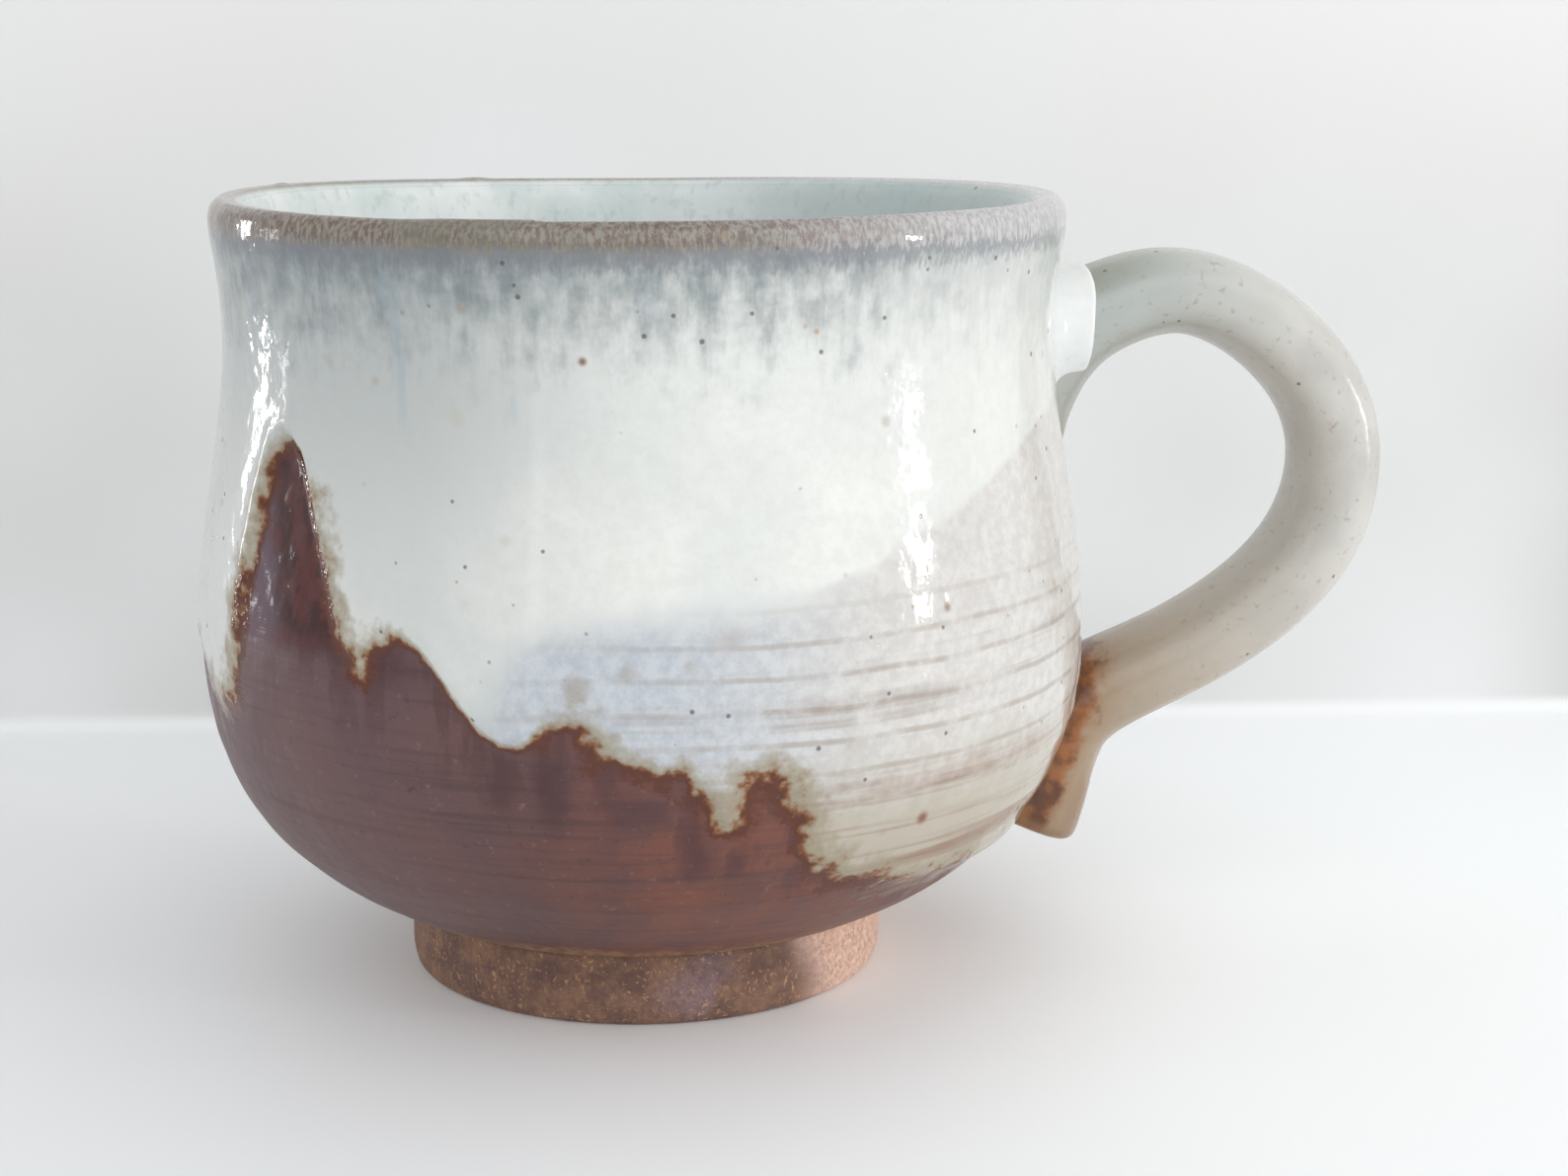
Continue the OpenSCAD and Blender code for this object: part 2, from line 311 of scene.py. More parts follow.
bare_clay, recipe, where, out = group("bare clay", [("Colour", "Color"), ("Grain", "Float")])
side = recipe.parts(where)[0]
blot = recipe.noise(where, 260.0, 4.0, 0.6)
large = recipe.noise(where, 70.0, 2.0)
tiny = recipe.noise(where, 1500.0, 4.0, 0.7)
grit_here = recipe.rise(recipe.noise(where, 2300.0, 2.0, 0.5), 0.56, 0.66)
grit_kept = recipe.rise(recipe.noise(where, 300.0, 2.0), 0.40, 0.62, 0.35, 1.0)
clay = recipe.blend(recipe.rise(blot, 0.36, 0.64), shade(118, 90, 80), shade(154, 118, 96))
clay = recipe.blend(recipe.rise(large, 0.52, 0.64, 0.0, 0.8), clay, shade(152, 128, 132))
clay = recipe.blend(recipe.rise(tiny, 0.35, 0.65, 0.0, 0.45), clay, shade(92, 68, 64))
# the clay is painted lighter and pinker on the right, the handle side that the window lights: painted light
lit_side_clay = recipe.blend(recipe.rise(tiny, 0.35, 0.65), shade(208, 168, 152), shade(238, 206, 186))
painted_light_share = recipe.rise(recipe.plus(side, recipe.times(large, 0.02)), 0.020, 0.032)
clay = recipe.blend(painted_light_share, clay, lit_side_clay)
grit_share = recipe.times(grit_here, grit_kept, 0.75)
recipe.feed(out.inputs["Colour"], recipe.blend(grit_share, clay, shade(204, 160, 118)))
recipe.feed(out.inputs["Grain"], recipe.plus(recipe.times(blot, 0.6), recipe.times(grit_here, 0.4)))

foot = turned("foot", FOOT_LINE, 192, corners=(0, 1), closed=True)
bare, recipe, shader, where = material("fired bare clay", 0.85)
made = placed(recipe, bare_clay, where)
turning = recipe.noise(recipe.stretch(where, 20.0, 1800.0), 1.0, 2.0)
recipe.feed(shader.inputs["Base Color"], made["Colour"])
rough = recipe.plus(made["Grain"], recipe.times(turning, 0.35))
recipe.bump(shader, 0.6, 0.0004, rough)
foot.data.materials.append(bare)
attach(foot, "root")
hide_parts("foot_ring")

# ---------------------------------------------------------------- the wall
# The thrown wall of the mug, from the middle of its base up over the lip, with the coats that lie
# on it: iron glaze below, ash glaze above, a thin second dip by the handle, and the lip run bare.

WALL_LINE = [(0, 8.3), (12, 8.2), (19.8, 7.9), (24.3, 7.45), (25.4, 7.6), (27.3, 8.3), (31.2, 10.1),
             (34.5, 12.2), (37.2, 14.4), (40.0, 17.2), (42.1, 20.2), (43.9, 24.0), (45.1, 28.0),
             (45.85, 33.0), (46.0, 38.0), (45.7, 43.0), (45.05, 48.0), (44.2, 53.0), (43.3, 58.0),
             (42.65, 63.0), (42.4, 67.0), (42.5, 71.0), (42.9, 75.0), (43.3, 78.0), (43.25, 79.6),
             (42.7, 80.6), (41.7, 81.0), (40.6, 80.7), (39.9, 79.8)]
LINER_LINE = [(40.22, 80.33), (39.85, 79.78), (39.2, 78.0), (38.5, 75.0), (38.0, 71.5),
              (37.7, 67.5), (37.9, 63.0), (38.5, 57.0), (39.3, 51.0), (40.1, 45.0), (40.6, 39.5),
              (40.5, 34.0), (39.6, 29.5), (37.7, 25.5), (34.8, 21.5), (30.8, 18.0), (26.5, 15.7),
              (22.5, 14.3), (17.0, 13.4), (10.0, 13.05), (0, 13.0)]
# the clay's own inner face, hidden under the lining
UNDER_LINER = [(r + 0.55, z - 0.15) for r, z in LINER_LINE[2:14:2]]
UNDER_LINER += [(r + 0.25, z - 0.5) for r, z in LINER_LINE[14:20:2]]
WALL_TURNS = 480

# where the ash glaze ends above the iron glaze, as (degrees round the mug, height in mm)
DIP_EDGE = [(-180, 35), (-172, 37), (-165, 34), (-159, 32), (-155.4, 33.5), (-153.4, 38.5),
            (-151, 47), (-149, 55.0), (-147.2, 58.8), (-144.7, 60), (-142.2, 58.6), (-140, 55.0),
            (-136, 48.5), (-134, 43.3), (-132, 41.2), (-129.4, 39.2), (-128.3, 41.3), (-125, 43.2),
            (-122, 42.5), (-119, 40), (-117.5, 38.3), (-114.6, 35.7), (-112, 34.4), (-109.5, 33.8),
            (-107, 34.8), (-106, 35.9), (-103, 35.9), (-100, 33.4), (-96.6, 32), (-91, 30.9),
            (-88.5, 28.9), (-85.7, 26.2), (-83.8, 27.6), (-83, 30.5), (-80, 30.8), (-77.4, 27.7),
            (-75.7, 24.4), (-74, 21), (-69, 19.2), (-59.6, 17.1), (-48, 16.1), (-30, 15.5), (0, 15),
            (22, 16), (40, 19), (58, 22), (70, 27), (75, 31), (80, 27), (92, 29), (101, 34),
            (107, 31), (112, 24), (117, 31), (128, 36), (140, 40), (147, 38), (151, 33), (156, 37),
            (168, 36), (180, 35)]
# the upper edge of the second, thinner dip
SECOND_EDGE = [(-180, 20), (-125, 25), (-116, 33), (-112, 42), (-107.5, 45.7), (-96, 47),
               (-85, 47.3), (-76, 47.8), (-68, 49.5), (-62, 51.7), (-55, 53.3), (-43, 56.9),
               (-33, 59.7), (-20, 61.4), (0, 62), (25, 60), (50, 55), (75, 49), (95, 43), (110, 36),
               (125, 26), (180, 20)]
# how wide and ragged the rusty fringe is along that edge, as a share; where it is small, the coat
# ends in a thick rolled edge instead
FRINGE = [(-180, 0.8), (-156, 1.1), (-150, 0.6), (-144, 0.5), (-136, 0.9), (-129, 1.0), (-125, 0.6),
          (-118, 0.22), (-108, 0.25), (-105.5, 1.0), (-60, 1.3), (0, 1.3), (105, 1.0), (112, 0.3),
          (117, 0.8), (148, 0.8), (151, 0.3), (156, 0.8), (180, 0.8)]
MEAN_RADIUS = 44.0
MM_A_DEGREE = 0.77


def along_edge(edge, soften):
    """An edge as heights at every tenth of a degree, its corners softened over some degrees."""
    angles = np.arange(-180, 180, 0.1)
    heights = np.interp(angles, [a for a, z in edge], [z for a, z in edge])
    wide = max(1, int(soften * 10))
    padded = np.concatenate([heights[-wide:], heights, heights[:wide]])
    return angles, np.convolve(padded, np.ones(wide) / wide, "same")[wide:-wide]


def above_edge(turn, height, edge, soften):
    """How far each point lies above an edge, in millimetres, measured square to the edge."""
    angles, heights = along_edge(edge, soften)
    level = np.interp(turn, angles, heights)
    flat = turn * math.pi / 180 * MEAN_RADIUS
    line_x = np.concatenate([angles - 360, angles, angles + 360]) * math.pi / 180 * MEAN_RADIUS
    line_z = np.tile(heights, 3)
    length = np.concatenate([[0], np.cumsum(np.hypot(np.diff(line_x), np.diff(line_z)))])
    even = np.arange(0, length[-1], 0.15)                # a point at every 0.15 mm of the edge
    tree = kdtree.KDTree(len(even))
    for k, (x, z) in enumerate(zip(np.interp(even, length, line_x), np.interp(even, length, line_z))):
        tree.insert((x, z, 0), k)
    tree.balance()
    gap = np.array([tree.find((a, z, 0))[2] for a, z in zip(flat, height)])
    return gap * np.sign(height - level)


def smooth(value, low, high):
    share = np.clip((value - low) / (high - low), 0, 1)
    return share * share * (3 - 2 * share)


def lean(places):
    """The small warp that drying and firing leave: a slow oval and a lip that isn't quite level."""
    turn = np.arctan2(places[:, 1], places[:, 0])
    share = smooth(places[:, 2], 0.03, 0.081)
    oval = 1 + 0.0035 * share * np.cos(2 * turn + 0.9)
    places[:, 0] *= oval
    places[:, 1] *= oval
    places[:, 2] += 0.00022 * share * np.sin(2 * turn + 2.0) + 0.00012 * share * np.sin(3 * turn)
    return places


def vertices(piece, what="co"):
    data = np.empty(len(piece.data.vertices) * 3)
    piece.data.vertices.foreach_get(what, data)
    return data.reshape(-1, 3)


def keep(piece, name, values):
    made = piece.data.attributes.new(name, "FLOAT", "POINT")
    made.data.foreach_set("value", values.astype(np.float32))


wall = turned("wall", WALL_LINE + UNDER_LINER + [(0, 12.5)], WALL_TURNS, corners=(3, 28), fineness=5)
places, ways = vertices(wall), vertices(wall, "normal")
turn = np.degrees(np.arctan2(places[:, 1], places[:, 0]))
radius = np.hypot(places[:, 0], places[:, 1])
height = places[:, 2] * 1000
# 1 on the outer face, 0 on the lip's inner side and on the base
facing = (ways[:, 0] * places[:, 0] + ways[:, 1] * places[:, 1]) / np.maximum(radius, 1e-6)
out_share = smooth(facing, 0.0, 0.4) * smooth(height, 8.0, 10.0) * (radius > 0.024)
edge_gap = above_edge(turn, height, DIP_EDGE, 1.2)
second_gap = above_edge(turn, height, SECOND_EDGE, 3.0)
fringe = np.interp(turn, [a for a, w in FRINGE], [w for a, w in FRINGE])
keep(wall, "edge", edge_gap)
keep(wall, "second", second_gap)
keep(wall, "fringe", fringe)

# what the outer face carries, each in millimetres outwards. First the potter's finger rings
rings = 0.05 * np.sin(height * math.tau / 5.3 + 0.4 * np.sin(np.radians(turn)) + 0.6)
rings += 0.035 * np.sin(height * math.tau / 3.4 + 1.1 + 0.5 * np.sin(np.radians(turn * 2)))
rings *= smooth(height, 12, 20) * (1 - smooth(height, 48, 60))
rings *= 0.7 + 0.5 * np.cos(np.radians(turn + 50))
# the ash coat, thickest round the bare tongue, with a bead along its lower edge
TONGUE_TURN = -144.5
TONGUE_SPREAD = 9.0
tongue_near = np.exp(-((turn - TONGUE_TURN) / TONGUE_SPREAD) ** 2)
tongue_near *= smooth(height, 40, 50) * (1 - smooth(height, 68, 76))
rolled = smooth(1 - fringe, 0.3, 0.8)
thick = 0.30 + 0.40 * rolled + 0.55 * tongue_near
coat = thick * smooth(edge_gap, -0.25, 1.3)
coat += (0.12 + 0.28 * rolled + 0.3 * tongue_near) * np.exp(-((edge_gap - 1.5) / 1.1) ** 2)
coat -= thick * 0.5
# two swollen drips, as (degrees, height, half width, half height, swell)
DRIPS = [(-110.3, 36.6, 2.6, 2.6, 0.55), (-86.3, 29.0, 1.8, 2.4, 0.3)]
bulge = np.zeros_like(turn)
for angle, level, half_wide, half_tall, swell in DRIPS:
    across, up = (turn - angle) * MM_A_DEGREE / half_wide, (height - level) / half_tall
    bulge += swell * np.exp(-(across ** 2 + up ** 2))
# the step at the second dip's upper edge, by the handle
dip = 0.12 * smooth(second_gap, -0.5, 1.5) * smooth(turn, -80, -50) * (1 - smooth(turn, 60, 90))
# and the bead of slip squeezed out round the handle's tail
TAIL_HALF_WIDE = 8.4
TAIL_MIDDLE = 22
TAIL_STRAIGHT = 6
past_straight = np.maximum(0, np.abs(height - TAIL_MIDDLE) - TAIL_STRAIGHT)
tail_gap = np.hypot(places[:, 1] * 1000, past_straight) - TAIL_HALF_WIDE
bead = 0.55 * np.exp(-(tail_gap / 1.3) ** 2) * (places[:, 0] > 0) * (1 - smooth(height, 34, 38))
places += ways * (out_share * (rings + coat + bulge + dip + bead) / 1000)[:, None]
places = lean(places)
wall.data.vertices.foreach_set("co", places.ravel())
wall.data.update()

lining_look, recipe, where, out = group("pale lining", [("Colour", "Color"), ("Ripple", "Float")])
soft_cloud = recipe.noise(where, 90.0, 3.0)
fine = recipe.noise(recipe.stretch(where, 1.0, 0.5), 900.0, 3.0)
pale = recipe.blend(recipe.rise(soft_cloud, 0.35, 0.65), shade(236, 239, 237), shade(214, 223, 220))
# the inner wall on the right, which the window's light from the right doesn't reach, is painted darker and
# greener: painted shade
painted_shade_right_inside = recipe.rise(recipe.parts(where)[0], -0.01, 0.036, 0.0, 0.8)
pale = recipe.blend(painted_shade_right_inside, pale, shade(176, 190, 188))
pale = recipe.blend(recipe.rise(fine, 0.52, 0.7, 0.0, 0.3), pale, shade(168, 180, 176))
recipe.feed(out.inputs["Colour"], pale)
recipe.feed(out.inputs["Ripple"], recipe.noise(where, 420.0, 2.0))

pinholes, recipe, where, out = group("pinholes", [("Holes", "Float"), ("Freckles", "Float")])
# a few cells in each pattern hold a mark; each line says the cells' scale, which of their random
# colours picks them and above what value, and where the mark starts to fade and ends
for mark, scale, pick, from_here, all_here, heart, rim in (
        ("Holes", 520.0, 1, 0.80, 0.84, 0.08, 0.16), ("Freckles", 260.0, 0, 0.82, 0.90, 0.05, 0.20)):
    cells = recipe.node("TexVoronoi", {"Vector": where, "Scale": scale}, feature="F1")
    chance = recipe.node("SeparateColor", {0: cells.outputs["Color"]}).outputs[pick]
    few = recipe.rise(chance, from_here, all_here)
    dot = recipe.rise(cells.outputs["Distance"], heart, rim, 1.0, 0.0)
    recipe.feed(out.inputs[mark], recipe.times(few, dot))

dipped, recipe, shader, where = material("dipped glazes", 0.2)
side, depth, height = recipe.parts(where)
edge = recipe.node("Attribute", attribute_name="edge").outputs["Fac"]
second = recipe.node("Attribute", attribute_name="second").outputs["Fac"]
fringe_share = recipe.node("Attribute", attribute_name="fringe").outputs["Fac"]
middling = recipe.noise(where, 330.0, 3.0, 0.6)
fine = recipe.noise(where, 1100.0, 3.0, 0.6)
broad = recipe.noise(where, 60.0, 2.0)
streaks = recipe.noise(recipe.stretch(where, 640.0, 150.0), 1.0, 4.0, 0.65)
long_streaks = recipe.noise(recipe.stretch(where, 330.0, 60.0), 1.0, 3.0, 0.6)
lines = recipe.noise(recipe.stretch(where, 30.0, 1300.0), 1.0, 3.0, 0.6)
speckle = recipe.noise(where, 760.0, 5.0, 0.7)

# the edge wanders a little, more where the fringe is wide
blotch = recipe.noise(where, 210.0, 4.0, 0.6)
wander = recipe.plus(recipe.times(blotch, 5.5), recipe.times(middling, 4.5))
wander = recipe.less(recipe.plus(wander, recipe.times(fine, 1.8)), 5.9)
ragged = recipe.plus(edge, recipe.times(wander, fringe_share))
in_fringe = recipe.reckon("DIVIDE", ragged, recipe.plus(fringe_share, 0.05))

# iron glaze: satin brown, streaked with darker runs and lined by the turning
iron = recipe.blend(recipe.rise(broad, 0.40, 0.62), shade(92, 62, 62), shade(104, 68, 60))
warm = recipe.times(recipe.rise(side, -0.020, 0.002), recipe.rise(blotch, 0.36, 0.58, 0.3, 1.0))
iron = recipe.blend(recipe.times(warm, 0.65), iron, shade(130, 74, 56))
violet = recipe.rise(side, -0.030, -0.006, 0.6, 0.0)
iron = recipe.blend(violet, iron, shade(106, 80, 84))
iron = recipe.blend(recipe.rise(lines, 0.48, 0.72, 0.0, 0.5), iron, shade(74, 50, 50))
iron = recipe.blend(recipe.rise(fine, 0.60, 0.78, 0.0, 0.5), iron, shade(150, 116, 104))
iron = recipe.blend(recipe.rise(fine, 0.24, 0.40, 0.5, 0.0), iron, shade(62, 36, 38))
run = recipe.times(recipe.rise(long_streaks, 0.50, 0.60), recipe.rise(edge, -9.0, -1.0))
iron = recipe.blend(recipe.times(run, 0.6), iron, shade(78, 44, 44))


def on_wall(angle, level, radius):
    """The place at an angle, height and radius given in degrees and millimetres."""
    a = math.radians(angle)
    return (radius / 1000 * math.cos(a), radius / 1000 * math.sin(a), level / 1000)


# places shifted a little to and fro, so that round marks come out uneven
BEND = 0.003
swirl = recipe.node("TexNoise", {"Vector": where, "Scale": 240.0, "Detail": 3.0}).outputs["Color"]
bent = recipe.node("VectorMath", {0: swirl, 1: (BEND, BEND, BEND), 2: where},
                   operation="MULTIPLY_ADD").outputs[0]
bent = recipe.node("VectorMath", {0: bent, 1: (BEND / 2, BEND / 2, BEND / 2)},
                   operation="SUBTRACT").outputs[0]
# darker runs that slid down under the drips: degrees, height, radius, size, tallness, strength
for angle, level, radius, size, tall, strength in (
        (-105.5, 29.5, 45.2, 3.0, 2.0, 0.8), (-112, 30, 45.5, 2.2, 2.2, 0.6), (-126, 40, 46, 5.0, 0.5, 0.5),
        (-89, 23.5, 43.6, 2.6, 2.0, 0.7), (-84, 22, 43, 1.6, 2.0, 0.5), (-96, 28, 45, 4.0, 0.5, 0.5)):
    mark = recipe.spot(bent, on_wall(angle, level, radius), size / 1000, 0.85, tall)
    iron = recipe.blend(recipe.times(mark, strength), iron, shade(74, 42, 46))
# the coat thins to ochre specks above the foot
low_line = recipe.plus(height, recipe.times(middling, 0.003))
low_line = recipe.rise(low_line, 0.0102, 0.0124, 1.0, 0.0)
ochre = recipe.blend(recipe.rise(fine, 0.40, 0.62), shade(118, 84, 68), shade(184, 142, 100))
iron = recipe.blend(recipe.times(low_line, 0.8), iron, ochre)

# the bare iron tongue high on the left is thick, dark and glassy
tongue = recipe.rise(recipe.plus(height, recipe.times(middling, 0.004)), 0.0405, 0.0450)
tongue = recipe.times(tongue, recipe.rise(side, -0.028, -0.024, 1.0, 0.0))
tongue_colour = recipe.blend(recipe.rise(middling, 0.4, 0.6), shade(58, 14, 14), shade(84, 34, 32))
# the tongue's left half is painted purple-grey: a painted reflection of the windows on the left; the right
# half keeps the dark red glaze
painted_reflection_side = recipe.rise(recipe.plus(side, recipe.times(middling, 0.002)), -0.0372, -0.0350, 0.85, 0.0)
tongue_colour = recipe.blend(painted_reflection_side, tongue_colour, shade(104, 84, 94))
iron = recipe.blend(tongue, iron, tongue_colour)

# ash glaze: cream white, clouded, with blue-grey streaks under the lip, deepened there with painted shade
ash = recipe.blend(recipe.rise(broad, 0.38, 0.62), shade(240, 240, 235), shade(230, 232, 228))
# the left side, away from the window, is painted blue-grey, more so higher up: partly the glaze's own tone,
# partly painted shade
greyer_and_shaded_left = recipe.rise(side, -0.026, 0.000, 0.9, 0.0)
greyer_and_shaded_left = recipe.times(greyer_and_shaded_left, recipe.rise(height, 0.046, 0.070, 0.40, 1.0))
ash = recipe.blend(greyer_and_shaded_left, ash, shade(184, 189, 188))
# the right side, where the window light falls strongest, is painted a little darker: painted shade
ash = recipe.blend(recipe.rise(side, 0.004, 0.030, 0.0, 0.6), ash, shade(220, 221, 217))
ash = recipe.blend(recipe.rise(speckle, 0.36, 0.66, 0.0, 0.22), ash, shade(206, 206, 198))
# the streaks under the lip are the glaze's own, painted darker as shade under the lip, most on the left
# away from the window
veil = recipe.plus(recipe.times(streaks, 0.014), recipe.times(middling, 0.016))
lip_streaks_and_painted_shade = recipe.rise(recipe.plus(height, veil), 0.0805, 0.0965)
lip_streaks_and_painted_shade = recipe.times(lip_streaks_and_painted_shade, recipe.rise(side, 0.006, 0.036, 1.0, 0.35))
ash = recipe.blend(recipe.times(lip_streaks_and_painted_shade, 0.95), ash, shade(126, 135, 138))
drawn = recipe.times(recipe.rise(long_streaks, 0.58, 0.70), recipe.rise(height, 0.060, 0.068))
drawn = recipe.times(drawn, recipe.rise(side, -0.014, 0.004, 0.38, 0.0))
ash = recipe.blend(drawn, ash, shade(150, 170, 184))

# second dip: lavender where it is thick, beige by the handle, browner low down
sway = recipe.plus(second, recipe.times(recipe.less(middling, 0.5), 2.0))
crisp = recipe.rise(sway, -0.5, 0.5, 1.0, 0.0)
faded = recipe.rise(sway, -4.0, 1.5, 1.0, 0.0)
by_handle = recipe.rise(side, 0.004, 0.026)
in_second = recipe.node("Mix", {0: by_handle, 2: faded, 3: crisp}).outputs[0]
lavender = recipe.blend(recipe.rise(speckle, 0.36, 0.64), shade(186, 192, 199), shade(203, 208, 213))
beige = recipe.blend(recipe.rise(speckle, 0.36, 0.64), shade(207, 203, 199), shade(219, 216, 211))
thin = recipe.blend(recipe.rise(side, -0.004, 0.022), lavender, beige)
ring_line = recipe.noise(recipe.stretch(where, 14.0, 420.0), 1.0, 3.0, 0.6)
by_side = recipe.rise(side, -0.014, 0.012, 0.3, 1.0)
lined = recipe.times(recipe.rise(ring_line, 0.52, 0.66), by_side,
                     recipe.rise(blotch, 0.36, 0.60, 0.15, 1.0),
                     recipe.rise(height, 0.036, 0.050, 1.0, 0.0))
thin = recipe.blend(recipe.times(lined, 0.6), thin, shade(164, 152, 144))
RIDGE_STEP = 0.0031
ridge = recipe.plus(recipe.times(height, math.tau / RIDGE_STEP), recipe.times(broad, 3.0))
ridge = recipe.rise(recipe.reckon("SINE", ridge), 0.72, 1.0)
ridge = recipe.times(ridge, by_side, recipe.rise(blotch, 0.36, 0.56, 0.2, 1.0),
                     recipe.rise(height, 0.040, 0.052, 1.0, 0.0))
thin = recipe.blend(recipe.times(ridge, 0.55), thin, shade(160, 146, 134))
low = recipe.rise(recipe.plus(height, recipe.times(middling, 0.010)), 0.0275, 0.0405, 1.0, 0.0)
low_colour = recipe.blend(recipe.rise(ring_line, 0.44, 0.60), shade(186, 177, 160), shade(146, 112, 84))
thin = recipe.blend(recipe.times(low, 0.9), thin, low_colour)
ash = recipe.blend(in_second, ash, thin)

# the fringe: white to olive to rust, and dark where the glaze pools
fringed = recipe.blend(recipe.rise(in_fringe, 0.9, 3.0, 0.85, 0.0), ash, shade(160, 148, 124))
fringed = recipe.blend(recipe.rise(in_fringe, 0.2, 1.1, 1.0, 0.0), fringed, shade(134, 84, 44))
rust = recipe.blend(recipe.rise(in_fringe, -1.8, -0.3, 0.0, 1.0), iron, shade(92, 44, 26))
body = recipe.blend(recipe.rise(in_fringe, -0.2, 0.5), rust, fringed)

# the lip, where the glazes ran off it and the clay burns through
grain = recipe.noise(recipe.stretch(where, 2600.0, 900.0), 1.0, 3.0, 0.6)
lip_height = recipe.plus(height, recipe.times(recipe.less(grain, 0.5), 0.0040))
lip_colour = recipe.blend(recipe.rise(grain, 0.36, 0.64), shade(112, 92, 82), shade(150, 144, 134))
olive_patch = recipe.rise(recipe.plus(broad, recipe.times(middling, 0.4)), 0.60, 0.82, 0.0, 0.6)
lip_colour = recipe.blend(olive_patch, lip_colour, shade(128, 126, 112))
paler_lip = recipe.blend(recipe.rise(grain, 0.36, 0.64), shade(172, 168, 168), shade(198, 197, 197))
lip_colour = recipe.blend(recipe.rise(side, -0.004, 0.034), lip_colour, paler_lip)
body = recipe.blend(recipe.rise(lip_height, 0.0758, 0.0780, 0.0, 0.7), body, shade(122, 124, 130))
body = recipe.blend(recipe.rise(lip_height, 0.0778, 0.0790), body, lip_colour)
lining = placed(recipe, lining_look, where)
flat = recipe.node("CombineXYZ", {0: side, 1: depth}).outputs[0]
across = recipe.node("VectorMath", {0: flat}, operation="LENGTH").outputs["Value"]
inside = recipe.times(recipe.rise(across, 0.0403, 0.0412, 1.0, 0.0), recipe.rise(height, 0.07, 0.075))
body = recipe.blend(inside, body, lining["Colour"])

# small marks
marks = placed(recipe, pinholes, where)
on_ash = recipe.rise(ragged, 0.8, 2.0)
body = recipe.blend(recipe.times(marks["Freckles"], on_ash, 0.4), body, shade(170, 150, 128))
body = recipe.blend(recipe.times(marks["Holes"], 0.75), body, shade(84, 72, 66))
# single pits, spots and smudges: degrees, height, radius, size, colour, strength
for angle, level, radius, size, colour, strength in (
        (-102, 68.7, 42.5, 0.6, (128, 84, 52), 0.9), (-60, 48.4, 45, 0.7, (140, 104, 70), 0.9),
        (-57, 44.9, 45.5, 0.7, (140, 104, 70), 0.8), (-62, 45.5, 45.5, 0.5, (150, 120, 90), 0.8),
        (-59, 24.6, 44.2, 1.0, (134, 78, 56), 0.9), (-102.5, 39.8, 46, 1.7, (150, 128, 104), 0.45),
        (-85, 44, 45.6, 2.6, (184, 176, 172), 0.5), (-97, 41, 46, 1.4, (170, 158, 150), 0.5),
        (-118, 63.5, 42.6, 1.3, (190, 184, 166), 0.35), (-73.5, 71, 42.5, 0.45, (176, 138, 80), 0.8),
        (-75.0, 71.5, 42.5, 0.4, (176, 138, 80), 0.7)):
    mark = recipe.spot(bent if size > 1.2 else where, on_wall(angle, level, radius), size / 1000, 0.85)
    body = recipe.blend(recipe.times(mark, strength), body, shade(*colour))

clay = placed(recipe, bare_clay, where)
naked = recipe.rise(recipe.plus(height, recipe.times(fine, 0.0012)), 0.0084, 0.0095, 1.0, 0.0)
body = recipe.blend(naked, body, clay["Colour"])
recipe.feed(shader.inputs["Base Color"], body)

glassy = recipe.rise(in_fringe, -2.0, 0.0)
gloss = recipe.reckon("MAXIMUM", glassy, recipe.reckon("MAXIMUM", tongue, recipe.times(run, 0.5)))
gloss = recipe.times(gloss, recipe.rise(naked, 0.0, 1.0, 1.0, 0.0))
rough = recipe.rise(gloss, 0.0, 1.0, 0.46, 0.10)
rough = recipe.plus(rough, recipe.times(naked, 0.35))
recipe.feed(shader.inputs["Roughness"], rough)

lumps = recipe.noise(recipe.stretch(where, 520.0, 330.0), 1.0, 1.0, 0.4)
peel = recipe.noise(where, 700.0, 2.0, 0.5)
soft_peel = recipe.noise(where, 190.0, 2.0, 0.5)
surface = recipe.plus(recipe.times(peel, 0.30), recipe.times(soft_peel, 1.7))
surface = recipe.less(surface, recipe.times(marks["Holes"], 0.5))
iron_share = recipe.rise(in_fringe, -0.2, 0.6, 1.0, 0.0)
surface = recipe.plus(surface, recipe.times(lines, 0.5, iron_share),
                      recipe.times(lumps, 0.8, tongue, iron_share),
                      recipe.times(clay["Grain"], 2.0, naked))
recipe.bump(shader, 0.5, 0.0003, surface)
wall.data.materials.append(dipped)
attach(wall, "root")
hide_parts("bowl", "white_glaze", "pale_glaze", "iron_glaze", "rim_glaze")

# ---------------------------------------------------------------- the lining
# The pale coat poured into the bowl and out again. It covers the whole inside and meets the
# outer coats at the lip.

lining_back = [(r - 0.1, z + 0.1) for r, z in reversed(UNDER_LINER)]
liner = turned("lining", LINER_LINE + [(0, 12.6)] + lining_back, 256, corners=(0, 20, 21), fineness=6)
start_clean()
bpy.context.view_layer.objects.active = liner
liner.select_set(True)
bpy.ops.object.mode_set(mode="EDIT")
bpy.ops.mesh.select_all(action="DESELECT")
bpy.ops.mesh.select_non_manifold()
bpy.ops.mesh.bridge_edge_loops()
bpy.ops.mesh.select_all(action="SELECT")
bpy.ops.mesh.normals_make_consistent(inside=False)
bpy.ops.object.mode_set(mode="OBJECT")
liner.data.vertices.foreach_set("co", lean(vertices(liner)).ravel())
liner.data.update()
poured, recipe, shader, where = material("poured pale glaze", 0.12)
lining = placed(recipe, lining_look, where)
recipe.feed(shader.inputs["Base Color"], lining["Colour"])
recipe.bump(shader, 0.4, 0.0003, lining["Ripple"])
liner.data.materials.append(poured)
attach(liner, "root")
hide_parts("liner_glaze")

